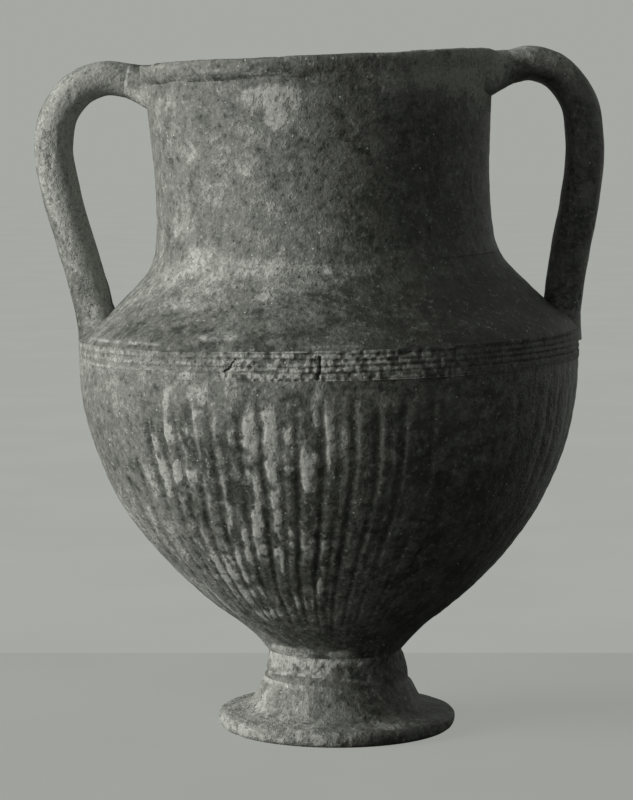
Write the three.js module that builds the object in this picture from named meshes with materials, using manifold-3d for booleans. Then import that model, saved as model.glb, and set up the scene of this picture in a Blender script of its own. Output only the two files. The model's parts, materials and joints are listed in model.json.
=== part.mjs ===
import * as THREE from 'three';
import { mergeVertices } from 'three/addons/utils/BufferGeometryUtils.js';
import Module from 'manifold-3d';

// A hand-built jar of dark grey clay with two upright handles, a ribbed bowl and a trumpet foot.
// Millimetres, +Z up. The jar's front faces -Y, and its handles lie in the XZ plane.
// The origin is on the ground, midway between the outer edges of the handles.

const wasm = await Module();
wasm.setup();

// Slip gap between two pieces that were pressed together, and ribs round the bowl. Each thrown piece
// has as many facets as the bowl has ribs.
const slipGap = 0.3;
const ribCount = 60;

// Heights of the joints, from the ground up
const seamHeight = 24.5;
const stemTop = 37.6;
const bandBottom = 177;
const bandMiddle = 183.5;
const bandTop = 190;
const neckFoot = 226;
const lipBottom = 311;
const rimHeight = 319.6;

// Radii of the joints
const socketRadius = 24;
const bandSeatRadius = 114.5;
const bandRadius = 119;
const neckTongueRadius = 78;
const neckTenonRadius = 79;
const lipRadius = 84.8;
const bowlMouthRadius = 111;

// How deep the neck's tongue hangs in the shoulder, how thick the lip is over the neck's tenon, and
// how far the parts of one piece run into each other before they are joined
const tongueDepth = 6.5;
const lipCap = 3.5;
const overlap = 4;

// Clay thicknesses
const bowlWall = 7.4;
const neckWall = 6;

// Ribs and grooves, tooled while the clay was damp
const ribDepth = 1.5;
const ribTopFade = [172, 160];
const ribFootFade = [42, 56];
const bandGrooves = [180.7, 183.4, 186, 188.5];
const bandGrooveDepth = 0.8;
const bandGrooveHalf = 0.65;

// How the jar slumped before firing: the axis leans to -X, and the upper part tilts with it
const footOffset = 8.3;
const bowlLean = 0.0205;
const neckLean = 0.0195;
const neckLeanStart = 185;
const neckLeanBlend = 20;
const rimTilt = THREE.MathUtils.degToRad(2.4);
const tiltHeights = [130, 235];

// Handle sections: the clay rope is thinner over the top and thicker down the side
const handleTopHalf = 8;
const handleSideHalf = 9.1;
const handleHalfWidth = 12;
const handleSquareness = 0.85;
const handleSides = 14;
const handleSteps = 20;

// Clay wads round the handle ends. The rope's end is pared down so that the wad lies flush with the
// rest of it. Against the wall a wad spreads outwards, into the gap under the handle and sideways.
// The wall that trims the ends runs well below and above them.
const handleWallFrom = 155;
const handleWallTo = 340;
const wadSkin = 1.5;
const wadReach = 17;
const wadWallReach = 7;
const wadSteps = 5;
const upperSpread = { outer: 1, inner: 2.4, side: 18 };
const lowerSpread = { outer: 1, inner: 0.6, side: 8 };

// Outlines as [radius, height], each from the foot up
const footFlare = [[56, 6.5], [50, 7.2], [45.5, 8], [42, 9.6], [39.8, 12], [37.7, 17], [36, 21], [35, 24.2]];
const stemOutline = [[33.1, 24.8], [33.5, 28.5], [32.4, 33.5], [30.9, 37.3]];
const bowlOutline = [
  [31.4, 37.7], [36.6, 43], [44.6, 50.5], [57, 60], [71, 72.5], [85.8, 88.5],
  [100.2, 109], [111, 133], [116.5, 153], [118.2, 166], [118.7, 177],
];
const shoulderOutline = [
  [118.6, 190.3], [114.4, 194.6], [106.3, 200.4], [95.9, 210], [87.9, 218], [82.5, 225.7],
];
const neckOutline = [[82, 226.3], [79.7, 241], [79.2, 262], [80.8, 289], [82.4, 310.7]];
const bowlHollow = [
  [0, 46.4], [24, 49], [46, 60], [68, 80], [84, 102], [98, 124], [107, 146], [bowlMouthRadius, 170],
];

// Centre lines of the handles as [x, z], from the rim round to the shoulder
const leftHandleLine = [
  [-78, 305.6], [-90, 309], [-101.5, 310], [-113.4, 305.6], [-122.9, 294],
  [-126, 278.5], [-122.6, 256], [-116.6, 234], [-110.6, 213.5], [-104.4, 189],
];
const rightHandleLine = [
  [78, 311.3], [90, 315.5], [99.5, 317.2], [112, 312.8], [122, 300.2],
  [125.6, 280], [123.6, 252], [119.6, 230], [116.6, 211], [113.9, 188],
];

// Working functions

// Goes from 0 at "from" to 1 at "to" with level ends
function fade(value, from, to) {
  const t = THREE.MathUtils.clamp((value - from) / (to - from), 0, 1);
  return t * t * (3 - 2 * t);
}

// Moves every point of a thrown piece to where it came to rest in the slumped jar
function slump(geometry) {
  const position = geometry.attributes.position;
  for (let i = 0; i < position.count; i += 1) {
    const x = position.getX(i);
    const z = position.getZ(i);
    const tilt = rimTilt * fade(z, ...tiltHeights);
    const above = z - neckLeanStart;
    const bend = (above + Math.hypot(above, neckLeanBlend)) / 2;
    const axis = footOffset - bowlLean * z - neckLean * bend;
    position.setX(i, axis + x * Math.cos(tilt));
    position.setZ(i, z + x * Math.sin(tilt));
  }
  return geometry;
}

// Spins an outline of [radius, height] round the upright axis
function spin(outline) {
  const points = outline.map(([radius, height]) => new THREE.Vector2(radius, height));
  return new THREE.LatheGeometry(points, ribCount).rotateX(Math.PI / 2);
}

// Spins an outline that closes on itself, which leaves a ring
function spinRing(outline) {
  return spin([...outline, outline[0]]);
}

// The same outline drawn in by the thickness of the clay
function inside(outline, wall) {
  return outline.map(([radius, height]) => [radius - wall, height]);
}

// A closed body through a stack of rings of points, with a flat fan over each end
function skin(rings) {
  const count = rings[0].length;
  const centres = [rings[0], rings[rings.length - 1]].map((ring) => (
    ring.reduce((sum, point) => sum.add(point), new THREE.Vector3()).divideScalar(count)
  ));
  const points = [...rings.flat(), ...centres];
  const firstCentre = points.length - 2;
  const lastCentre = points.length - 1;
  const lastRing = (rings.length - 1) * count;
  const index = [];
  for (let i = 0; i < count; i += 1) {
    const next = (i + 1) % count;
    for (let row = 0; row < lastRing; row += count) {
      index.push(row + i, row + next, row + count + next);
      index.push(row + i, row + count + next, row + count + i);
    }
    index.push(firstCentre, next, i);
    index.push(lastCentre, lastRing + i, lastRing + next);
  }
  const geometry = new THREE.BufferGeometry().setFromPoints(points);
  geometry.setIndex(index);
  return geometry;
}

// A mesh geometry as a solid that can be joined and cut
function toSolid(geometry) {
  const bare = geometry.clone();
  bare.deleteAttribute('normal');
  bare.deleteAttribute('uv');
  const merged = mergeVertices(bare);
  return new wasm.Manifold(new wasm.Mesh({
    numProp: 3,
    vertProperties: new Float32Array(merged.attributes.position.array),
    triVerts: new Uint32Array(merged.index.array),
  }));
}

// A solid as a mesh geometry again
function toGeometry(solid) {
  const mesh = solid.getMesh();
  const geometry = new THREE.BufferGeometry();
  geometry.setAttribute('position', new THREE.BufferAttribute(mesh.vertProperties, 3));
  geometry.setIndex(new THREE.BufferAttribute(mesh.triVerts, 1));
  return geometry;
}

// Thrown pieces, from the foot up

// A disc on a flared stem, hollow underneath so that it rests on a ring
function makeFoot() {
  const edge = [[45.5, 0], [54.9, 0], [56.4, 1], [57, 3.2], [56.9, 5.6]];
  const hollow = [[0, 17.5], [19, 15.6], [31, 10], [42, 3.2]];
  return spin([...hollow, ...edge, ...footFlare, [0, seamHeight - slipGap]]);
}

// A sleeve of clay round the joint between the foot and the bowl
function makeStemCollar() {
  const bore = socketRadius + slipGap;
  return spinRing([[bore, seamHeight + slipGap], ...stemOutline, [bore, stemTop - slipGap]]);
}

// One level of the bowl: each rib is a broad flat ridge between two narrow cuts that fade at their ends
function bowlRing([radius, height]) {
  const depth = ribDepth * fade(height, ...ribTopFade) * fade(height, ...ribFootFade);
  const ring = [];
  for (let rib = 0; rib < ribCount; rib += 1) {
    for (const [part, sink] of [[0.28, 0], [0.5, 1], [0.72, 0]]) {
      const angle = (2 * Math.PI * (rib + part)) / ribCount;
      const reach = radius - depth * sink;
      ring.push(new THREE.Vector3(reach * Math.sin(angle), -reach * Math.cos(angle), height));
    }
  }
  return ring;
}

// The ribbed bowl, with a boss below that sits in the stem and a thin rim above that the band covers
function makeBowl() {
  const ribbed = toSolid(skin(bowlOutline.map(bowlRing)));
  const bossBottom = seamHeight + slipGap;
  const boss = toSolid(spin([
    [0, bossBottom], [socketRadius, bossBottom], [socketRadius, stemTop + overlap], [0, stemTop + overlap],
  ]));
  const rimTop = bandMiddle - slipGap / 2;
  const rimFrom = bandBottom - overlap;
  const rim = toSolid(spin([
    [0, rimFrom], [bandSeatRadius, rimFrom], [bandSeatRadius, rimTop], [0, rimTop],
  ]));
  const hollow = toSolid(spin([...bowlHollow, [bowlMouthRadius, bandTop], [0, bandTop]]));
  return toGeometry(ribbed.add(boss).add(rim).subtract(hollow));
}

// The strip that covers the joint of bowl and shoulder, with its incised grooves
function makeGroovedBand() {
  const bottom = bandBottom + slipGap;
  const top = bandTop - slipGap;
  const bore = bandSeatRadius + slipGap;
  const cuts = bandGrooves.flatMap((height) => [
    [bandRadius, height - bandGrooveHalf],
    [bandRadius - bandGrooveDepth, height],
    [bandRadius, height + bandGrooveHalf],
  ]);
  return spinRing([[bore, bottom], [bandRadius, bottom], ...cuts, [bandRadius, top], [bore, top]]);
}

// The sloping shoulder: its lower edge stands on the bowl, and its top is rebated for the neck
function makeShoulder() {
  const mouth = neckTongueRadius + slipGap;
  const top = neckFoot - slipGap;
  const lining = inside(shoulderOutline.slice(1, -2), bowlWall).reverse();
  return spinRing([
    [bandSeatRadius, bandMiddle + slipGap / 2], [bandSeatRadius, bandTop], ...shoulderOutline,
    [mouth, top], [mouth, top - tongueDepth], ...lining, [bowlMouthRadius, bandMiddle + slipGap / 2],
  ]);
}

// The tall neck, with a tongue that hangs inside the shoulder and a tenon that the lip caps
function makeNeck() {
  const lining = inside(neckOutline.slice(1), neckWall).reverse();
  const bore = lining[lining.length - 1][0];
  const bottom = neckFoot - tongueDepth;
  const top = rimHeight - lipCap - slipGap;
  return spinRing([
    [bore, bottom], [neckTongueRadius, bottom], [neckTongueRadius, neckFoot + slipGap],
    ...neckOutline, [neckTenonRadius, lipBottom], [neckTenonRadius, top],
    [lining[0][0], top], ...lining.slice(1),
  ]);
}

// The lip, folded over the top of the neck
function makeLip() {
  const bore = neckTenonRadius + slipGap;
  const mouth = neckOutline[neckOutline.length - 1][0] - neckWall;
  const under = rimHeight - lipCap;
  return spinRing([
    [bore, lipBottom], [lipRadius - 0.8, lipBottom], [lipRadius, lipBottom + 1.2],
    [lipRadius, rimHeight - 1.5], [lipRadius - 1.2, rimHeight], [mouth + 0.8, rimHeight],
    [mouth, rimHeight - 0.8], [mouth, under], [bore, under],
  ]);
}

// Hand-shaped pieces, each pressed on and cut to the wall behind it

// Everything inside the jar's outer face, which trims the handles and the wads
function makeWall() {
  const grown = [
    [116.8, handleWallFrom], [118.7, bandBottom], [bandRadius, bandBottom], [bandRadius, bandTop],
    ...shoulderOutline, ...neckOutline, [lipRadius, lipBottom], [lipRadius, handleWallTo],
  ];
  const outline = grown.map(([radius, height]) => [radius + slipGap, height]);
  return toSolid(slump(spin([[0, handleWallFrom], ...outline, [0, handleWallTo]])));
}

// A flattened rope along part of a handle's curve. At each part of the curve, "growth" gives what is
// added to the section towards the outside, towards the gap and sideways.
function rope(curve, from, to, steps, growth) {
  const across = new THREE.Vector3(0, -Math.sign(curve.points[0].x), 0);
  const rings = [];
  for (let step = 0; step <= steps; step += 1) {
    const part = THREE.MathUtils.lerp(from, to, step / steps);
    const centre = curve.getPointAt(part);
    const outward = new THREE.Vector3().crossVectors(across, curve.getTangentAt(part));
    const half = THREE.MathUtils.lerp(handleTopHalf, handleSideHalf, fade(part, 0.1, 0.45));
    const { outer, inner, side } = growth(part);
    const ring = [];
    for (let corner = 0; corner < handleSides; corner += 1) {
      const angle = (2 * Math.PI * corner) / handleSides;
      const cos = Math.sign(Math.cos(angle)) * Math.abs(Math.cos(angle)) ** handleSquareness;
      const sin = Math.sign(Math.sin(angle)) * Math.abs(Math.sin(angle)) ** handleSquareness;
      const reach = half + (cos > 0 ? outer : inner);
      ring.push(centre.clone()
        .addScaledVector(outward, reach * cos)
        .addScaledVector(across, (handleHalfWidth + side) * sin));
    }
    rings.push(ring);
  }
  return toSolid(skin(rings));
}

// A whole rope, or its core once it is pared down all round
function wholeRope(curve, pared) {
  return rope(curve, 0, 1, handleSteps, () => ({ outer: -pared, inner: -pared, side: -pared }));
}

// The rope at its full section between the wads, with its pared ends running on into them
function makeHandle(curve, wall) {
  const covered = wadReach / curve.getLength();
  const full = rope(curve, covered, 1 - covered, handleSteps, () => ({ outer: 0, inner: 0, side: 0 }));
  return toGeometry(wholeRope(curve, wadSkin).add(full).subtract(wall));
}

// The wad round one end of a handle, flush with the rope at one end and spread against the wall
function makeWad(curve, wall, atRim) {
  const length = curve.getLength();
  const reach = (wadReach - slipGap) / length;
  const spread = atRim ? upperSpread : lowerSpread;
  const growth = (part) => {
    const fromEnd = length * (atRim ? part : 1 - part);
    const swell = 1 - fade(fromEnd, wadWallReach, wadReach);
    const web = (1 - fromEnd / wadReach) ** 2;
    return { outer: spread.outer * swell, inner: spread.inner * swell, side: spread.side * web };
  };
  const [from, to] = atRim ? [0, reach] : [1 - reach, 1];
  const lump = rope(curve, from, to, wadSteps, growth);
  return toGeometry(lump.subtract(wholeRope(curve, wadSkin - slipGap)).subtract(wall));
}

// Assembly

const jar = new THREE.Group();

function add(name, geometry, color, roughness) {
  const mesh = new THREE.Mesh(geometry, new THREE.MeshStandardMaterial({ color, roughness, metalness: 0 }));
  mesh.name = name;
  jar.add(mesh);
}

add('foot', slump(makeFoot()), 0x575853, 0.78);
add('stem_collar', slump(makeStemCollar()), 0x6a6b66, 0.85);
add('belly', slump(makeBowl()), 0x484944, 0.76);
add('grooved_band', slump(makeGroovedBand()), 0x5b5c57, 0.84);
add('shoulder', slump(makeShoulder()), 0x4f504b, 0.78);
add('neck', slump(makeNeck()), 0x4a4b46, 0.74);
add('lip', slump(makeLip()), 0x55564f, 0.76);

const wall = makeWall();
const handleLines = { left: leftHandleLine, right: rightHandleLine };
for (const [side, line] of Object.entries(handleLines)) {
  const curve = new THREE.CatmullRomCurve3(line.map(([x, z]) => new THREE.Vector3(x, 0, z)));
  add(`${side}_handle`, makeHandle(curve, wall), 0x4d4e49, 0.76);
  add(`${side}_upper_wad`, makeWad(curve, wall, true), 0x55564f, 0.8);
  add(`${side}_lower_wad`, makeWad(curve, wall, false), 0x55564f, 0.8);
}

export default jar;
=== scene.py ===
import bpy
import json
import math
import numpy as np
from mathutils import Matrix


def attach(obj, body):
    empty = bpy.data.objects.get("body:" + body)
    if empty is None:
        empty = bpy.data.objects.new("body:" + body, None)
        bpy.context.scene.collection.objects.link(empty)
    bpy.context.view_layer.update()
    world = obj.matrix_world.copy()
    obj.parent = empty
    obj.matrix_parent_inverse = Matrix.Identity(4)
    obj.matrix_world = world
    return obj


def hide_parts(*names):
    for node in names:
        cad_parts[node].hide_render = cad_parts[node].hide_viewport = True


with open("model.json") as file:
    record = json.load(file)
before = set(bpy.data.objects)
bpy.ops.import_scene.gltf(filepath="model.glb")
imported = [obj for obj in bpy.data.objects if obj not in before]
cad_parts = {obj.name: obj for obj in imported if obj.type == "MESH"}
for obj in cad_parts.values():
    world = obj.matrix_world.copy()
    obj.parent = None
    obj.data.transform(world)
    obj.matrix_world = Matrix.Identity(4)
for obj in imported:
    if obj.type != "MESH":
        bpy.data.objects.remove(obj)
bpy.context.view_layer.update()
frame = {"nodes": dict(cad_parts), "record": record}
print("frame loaded:", len(frame["nodes"]), "pieces of clay")

# All shapes are worked out in millimetres and written to the meshes in metres
millimetre = 0.001
# Edges that are sharper than this are shaded as edges
sharpEdge = math.radians(50)

# How the jar slumped before firing: the axis wanders to -X and the upper part tilts with it
slump = {
    "footOffset": 8.3,
    "bowlLean": 0.0205,
    "neckLean": 0.0195,
    "neckLeanStart": 185.0,
    "neckLeanBlend": 20.0,
    "rimTilt": math.radians(2.4),
    "tiltFrom": 130.0,
    "tiltTo": 235.0,
    # small wobble of the axis, as height and shift
    "wobble": [(0, 0), (26, 0.65), (38, 0.7), (52, -0.4), (60, -0.65), (158, -0.65), (182, 0)],
}


def fade(value, start, end):
    # 0 at start and 1 at end, level at both: 3t^2 - 2t^3
    t = np.clip((value - start) / (end - start), 0.0, 1.0)
    return t * t * (3.0 - 2.0 * t)


def slumped(x, y, z):
    # axis at height z, plus x turned by the tilt that the clay has at that height
    tilt = slump["rimTilt"] * fade(z, slump["tiltFrom"], slump["tiltTo"])
    above = z - slump["neckLeanStart"]
    bend = (above + np.hypot(above, slump["neckLeanBlend"])) / 2.0
    axis = slump["footOffset"] - slump["bowlLean"] * z - slump["neckLean"] * bend
    axis = axis + np.interp(z, *zip(*slump["wobble"]))
    return axis + x * np.cos(tilt), y, z + x * np.sin(tilt)


latticeSide = 40
lattices = {}


def noise(x, y, z, size, seed):
    # seeded numbers on a repeating cubic lattice with the given cell size, shifted with the seed and
    # blended with level ends; runs from -1 to 1
    if seed not in lattices:
        lattices[seed] = np.random.default_rng(seed).random((latticeSide,) * 3)
    lattice = lattices[seed]
    cells, parts = [], []
    for value in (x, y, z):
        scaled = np.asarray(value) / size + 0.37 * seed
        low = np.floor(scaled)
        part = scaled - low
        cells.append(low.astype(int))
        parts.append(part * part * (3.0 - 2.0 * part))
    total = 0.0
    for corner in range(8):
        step = [(corner >> axis) & 1 for axis in range(3)]
        weight = 1.0
        for axis in range(3):
            weight = weight * (parts[axis] if step[axis] else 1.0 - parts[axis])
        index = [(cells[axis] + step[axis]) % latticeSide for axis in range(3)]
        total = total + weight * lattice[index[0], index[1], index[2]]
    return 2.0 * total - 1.0


def ringNoise(angle, radius, height, size, seed):
    # the noise along a ring round the jar's axis
    return noise(radius * np.sin(angle), radius * np.cos(angle), height, size, seed)


def smoothLine(points, spacing):
    # a curve through the points with steps of about the given length; each span is a cubic whose
    # slopes are the mean slopes at its two ends
    points = np.array(points, float)
    along = np.concatenate([[0.0], np.cumsum(np.hypot(*np.diff(points, axis=0).T))])
    if len(points) > 2:
        slopes = np.gradient(points, along, axis=0)
    else:
        slopes = np.gradient(points, axis=0) / along[-1]
    count = max(2, int(round(along[-1] / spacing)) + 1)
    at = np.linspace(0.0, along[-1], count)
    span = np.clip(np.searchsorted(along, at, side="right") - 1, 0, len(points) - 2)
    width = (along[span + 1] - along[span])[:, None]
    t = ((at - along[span]) / width[:, 0])[:, None]
    start = (2 * t**3 - 3 * t**2 + 1) * points[span] + (t**3 - 2 * t**2 + t) * width * slopes[span]
    end = (3 * t**2 - 2 * t**3) * points[span + 1] + (t**3 - t**2) * width * slopes[span + 1]
    return start + end


def joint(start, end, spacing):
    # a straight run of an outline where two pieces meet
    return smoothLine([start, end], spacing), 0


def joinRuns(runs):
    # the runs of an outline one after another, with a face number for each point: 1 where it is the
    # jar's outer face, 2 inside the jar, and 0 in a joint
    line, face = [], []
    for points, kind in runs:
        if line and np.hypot(*(line[-1][-1] - points[0])) < 0.02:
            points = points[1:]
        line.append(points)
        face.append(np.full(len(points), kind))
    return np.concatenate(line), np.concatenate(face)


def makeMesh(name, x, y, z, closedRows, attributes):
    # rows run along the outline or the handle, and columns go round; the columns always close, and the
    # rows either close too or end in two poles
    rows, columns = x.shape
    row = np.arange(rows if closedRows else rows - 1)[:, None]
    column = np.arange(columns)[None, :]
    nextRow, nextColumn = (row + 1) % rows, (column + 1) % columns
    corners = [row * columns + column, row * columns + nextColumn,
               nextRow * columns + nextColumn, nextRow * columns + column]
    quads = np.stack([np.broadcast_to(c, (len(row), columns)) for c in corners], -1).reshape(-1, 4)
    points = np.stack([x, y, z], -1).reshape(-1, 3)
    values = {key: value.reshape(-1) for key, value in attributes.items()}
    triangles = np.zeros((0, 3), int)
    if not closedRows:
        first, last = len(points), len(points) + 1
        ends = [points[:columns].mean(0), points[-columns:].mean(0)]
        points = np.concatenate([points, ends])
        for key, value in values.items():
            values[key] = np.concatenate([value, [value[:columns].mean(), value[-columns:].mean()]])
        here = np.arange(columns)
        there = (here + 1) % columns
        top = (rows - 1) * columns
        triangles = np.concatenate([
            np.stack([np.full(columns, first), there, here], -1),
            np.stack([np.full(columns, last), top + here, top + there], -1),
        ])
    mesh = bpy.data.meshes.new(name)
    mesh.vertices.add(len(points))
    mesh.vertices.foreach_set("co", (points * millimetre).astype(np.float32).ravel())
    loops = np.concatenate([quads.ravel(), triangles.ravel()])
    mesh.loops.add(len(loops))
    mesh.loops.foreach_set("vertex_index", loops.astype(np.int32))
    sizes = np.concatenate([np.full(len(quads), 4), np.full(len(triangles), 3)])
    mesh.polygons.add(len(sizes))
    starts = np.concatenate([[0], np.cumsum(sizes)[:-1]])
    mesh.polygons.foreach_set("loop_start", starts.astype(np.int32))
    mesh.update(calc_edges=True)
    mesh.validate()
    mesh.polygons.foreach_set("use_smooth", np.ones(len(mesh.polygons), bool))
    mesh.set_sharp_from_angle(angle=sharpEdge)
    for key, value in values.items():
        layer = mesh.attributes.new(key, "FLOAT", "POINT")
        layer.data.foreach_set("value", value.astype(np.float32))
    piece = bpy.data.objects.new(name, mesh)
    bpy.context.scene.collection.objects.link(piece)
    return piece


# Wear and lime

# the side with the most film, its least and most, and how far coarse and fine noise move it
lime = {"side": math.radians(-66.0), "least": 0.04, "most": 0.49, "drift": 0.12, "cloud": 0.08}


def filmAt(angle, x, y, z):
    # a thin film, densest on the side that lay uppermost in the ground, with drifting thickness
    side = fade(np.cos(angle - lime["side"]), -0.75, 1.0)
    film = lime["least"] + (lime["most"] - lime["least"]) * side
    return film + lime["drift"] * noise(x, y, z, 31.0, 11) + lime["cloud"] * noise(x, y, z, 10.0, 12)


def deposits(spots, degrees, height):
    # soft-edged spots of crust, each one an angle from the front, a height, a half width in degrees,
    # a half height in millimetres and a strength
    amount = np.zeros(np.broadcast(degrees, height).shape)
    for where, level, wide, tall, strength in spots:
        away = np.hypot(((degrees - where + 180.0) % 360.0 - 180.0) / wide, (height - level) / tall)
        spot = strength * (1.0 - fade(away, 0.45, 1.3))
        amount = np.where(np.abs(spot) > np.abs(amount), spot, amount)
    return amount


def clayRelief(x, y, z):
    # hand-made unevenness, long turning marks, small lumps and scattered pits, in millimetres
    relief = 0.26 * noise(x, y, z, 62.0, 1) + 0.12 * noise(x, y, z, 16.0, 2)
    relief = relief + 0.07 * noise(x * 0.1, y * 0.1, z, 2.6, 3) + 0.07 * noise(x, y, z, 4.6, 4)
    return relief - 0.3 * fade(noise(x, y, z, 5.2, 5), 0.62, 0.9)


# Joints of the thrown pieces, as heights and radii; each outline below is a list of radius and height

body = {
    # heights: seam of foot and collar, top of the collar, band, foot of the neck, lip
    "seam": 24.5,
    "stemTop": 37.6,
    "bandBottom": 177.0,
    "bandMiddle": 183.5,
    "bandTop": 190.0,
    "neckFoot": 226.0,
    "lipBottom": 311.0,
    "rim": 319.6,
    # radii of the laps, depths of tongue and cap, and walls
    "socket": 24.0,
    "bandSeat": 114.5,
    "bowlMouth": 111.0,
    "tongue": 78.0,
    "tongueDepth": 6.5,
    "tenon": 79.0,
    "lipCap": 3.5,
    "bowlWall": 7.4,
    "neckWall": 6.0,
    "axisRadius": 0.6,
}


def turn(name, runs, columns, closed, finishAt, settle=None):
    # the outline spun round the jar's axis, moved along its own normal by the relief, then slumped
    outline, faces = joinRuns(runs)
    if closed:
        outline, faces = outline[:-1], faces[:-1]
    angle = (np.arange(columns) / columns * 2.0 * np.pi)[None, :]
    slope = np.gradient(outline, axis=0)
    length = np.maximum(np.hypot(slope[:, 0], slope[:, 1]), 1e-6)
    outR, outH = (slope[:, 1] / length)[:, None], (-slope[:, 0] / length)[:, None]
    radius = outline[:, 0][:, None] * np.ones_like(angle)
    height = outline[:, 1][:, None] * np.ones_like(angle)
    x, y = radius * np.sin(angle), -radius * np.cos(angle)
    outer = (faces == 1)[:, None].astype(float)
    inner = (faces == 2)[:, None].astype(float)
    own, crust, wear = finishAt(angle, height, x, y)
    # the lime attribute: film and crust, and also the painted light and painted shade that some finishes
    # return with their crust
    amount = (filmAt(angle, x, y, height) + crust) * (1.0 - 0.6 * inner)
    relief = clayRelief(x, y, height) * (outer + 0.7 * inner) + own * outer
    # crust stands a little above the clay
    relief = relief + 0.14 * outer * fade(amount, 0.6, 0.95) * (1.0 + 0.6 * noise(x, y, height, 2.2, 6))
    radius = np.maximum(radius + outR * relief, 0.05)
    height = height + outH * relief
    if settle:
        radius, height = settle(angle, radius, height)
    x, y, z = slumped(radius * np.sin(angle), -radius * np.cos(angle), height)
    return makeMesh(name, x, y, z, closed, {"lime": amount, "wear": wear + 0.0 * amount})


# Joint of bowl and collar

stemJoint = {
    # the middle of the filled stretch, in radians from the front, and what the fill adds at most
    "middle": -0.25,
    "fill": 2.2,
    # radius of the line where bowl and collar meet, and how unevenly it runs
    "radius": 33.4,
    "uneven": 0.2,
}


def jointFill(angle, radius, height):
    # at the front, clay and crust fill the corner between the collar's top and the bowl, and both
    # pieces meet there in one line
    front = fade(np.cos(angle - stemJoint["middle"]), 0.1, 0.7) * fade(radius, 28.5, 31.0)
    radius = radius + stemJoint["fill"] * front * fade(height, 31.0, 37.5) * (1.0 - fade(height, 38.5, 45.0))
    seam = body["stemTop"]
    away = np.abs(height - seam)
    line = stemJoint["radius"] + stemJoint["uneven"] * ringNoise(angle, 30.0, seam, 5.0, 61)
    radius = radius + front * (1.0 - fade(away, 0.3, 2.6)) * (line - radius)
    return radius, height + front * (1.0 - fade(away, 0.2, 1.4)) * (seam - height)


# Ribbed bowl

bowl = {
    "outline": [
        (31.4, 37.7), (36.6, 43), (44.6, 50.5), (57, 60), (71, 72.5), (85.8, 88.5), (100.2, 109),
        (111, 133), (116.5, 153), (118.2, 166), (118.7, 177),
    ],
    "hollow": [(0.6, 46.4), (24, 49), (46, 60), (68, 80), (84, 102), (98, 124), (107, 146), (111, 170)],
    "columns": 840,
    "rowStep": 2.1,
    "grooves": 60,
    "depth": 0.68,
    "halfWidth": 1.4,
    "wornFade": (46.0, 128.0),
    "topFade": (173.0, 160.0),
    "footFade": (48.0, 68.0),
    # the grooves that the front shows, as degrees from the front; the rest are evenly spaced
    "front": [
        -73, -65.5, -58, -51.5, -45, -40.3, -36.3, -32, -27, -20, -14.9, -6.9, -1.5, 5.2, 10.4, 16.2,
    ],
    # how far the others may stray from even spacing, how much their depths differ, and their ends
    "stray": 0.16,
    "depthSpread": 0.18,
    "endSpread": 4.0,
    # shallow ones that the tool slipped into beside the others, as degrees and share of the depth
    "slips": [(-23.6, 0.35), (-10.4, 0.45), (2.1, 0.4), (13.4, 0.25)],
    # lower down, the tool drifted round the bowl
    "drift": -6.0,
    "driftFade": (46.0, 140.0),
    "lime": [
        (-17.0, 154, 1.8, 13, 0.9), (-17.2, 126, 0.9, 14, 0.5), (-12.2, 157, 1.8, 12, 0.9),
        (-32.4, 175.6, 3.2, 3.4, 0.5),
        (-13.2, 136, 1.6, 6, 0.6), (-12.7, 115, 1.2, 8, 0.5), (-11.6, 91, 1.2, 7, 0.5),
        (-25.4, 143, 1.0, 7, 0.4), (-26.0, 129, 1.0, 8, 0.5), (-25.2, 117, 1.6, 4, 0.6),
        (-26.8, 88, 1.6, 6, 0.55), (-31.0, 147, 0.9, 8, 0.4), (-30.9, 123, 1.0, 12, 0.4),
        (-35.5, 141, 0.8, 15, 0.36), (-38.9, 153, 0.7, 13, 0.36), (-44.0, 141, 0.7, 10, 0.3),
        (-54.0, 109, 1.2, 6, 0.3), (-5.9, 140, 0.9, 20, 0.4), (-0.6, 147, 0.8, 14, 0.36),
        (-0.4, 79, 1.5, 3, 0.65), (-26.0, 62.5, 9, 1.8, 1.1), (26.0, 55, 3.6, 1.5, 0.6),
        (-28, 40.3, 22, 3.6, 2.8), (8, 39.8, 12, 2.6, 2.2), (-57, 68, 1.6, 13, 0.6),
        (-49, 63, 1.3, 11, 0.6), (-33, 73, 6, 7, 0.3), (5.9, 150, 0.7, 14, 0.3),
        (11.3, 146, 0.6, 17, 0.36), (16.9, 140, 0.5, 20, 0.25),
    ],
}
firstFront, lastFront = bowl["front"][0], bowl["front"][-1]
restCount = bowl["grooves"] - len(bowl["front"])
restStep = (360.0 - lastFront + firstFront) / (restCount + 1)
grooveChance = np.random.default_rng(21)
restAt = [lastFront + restStep * (count + 1 + bowl["stray"] * grooveChance.uniform(-1, 1))
          for count in range(restCount)]
grooveCut = list(1.0 + bowl["depthSpread"] * grooveChance.uniform(-1, 1, bowl["grooves"]))
grooveAt = np.array(bowl["front"] + restAt + [angle for angle, share in bowl["slips"]])
grooveCut = np.array(grooveCut + [share for angle, share in bowl["slips"]])
grooveEnd = bowl["endSpread"] * grooveChance.uniform(-1, 1, len(grooveAt))
order = np.argsort(grooveAt % 360.0)
grooveAt, grooveCut, grooveEnd = grooveAt[order] % 360.0, grooveCut[order], grooveEnd[order]


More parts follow.
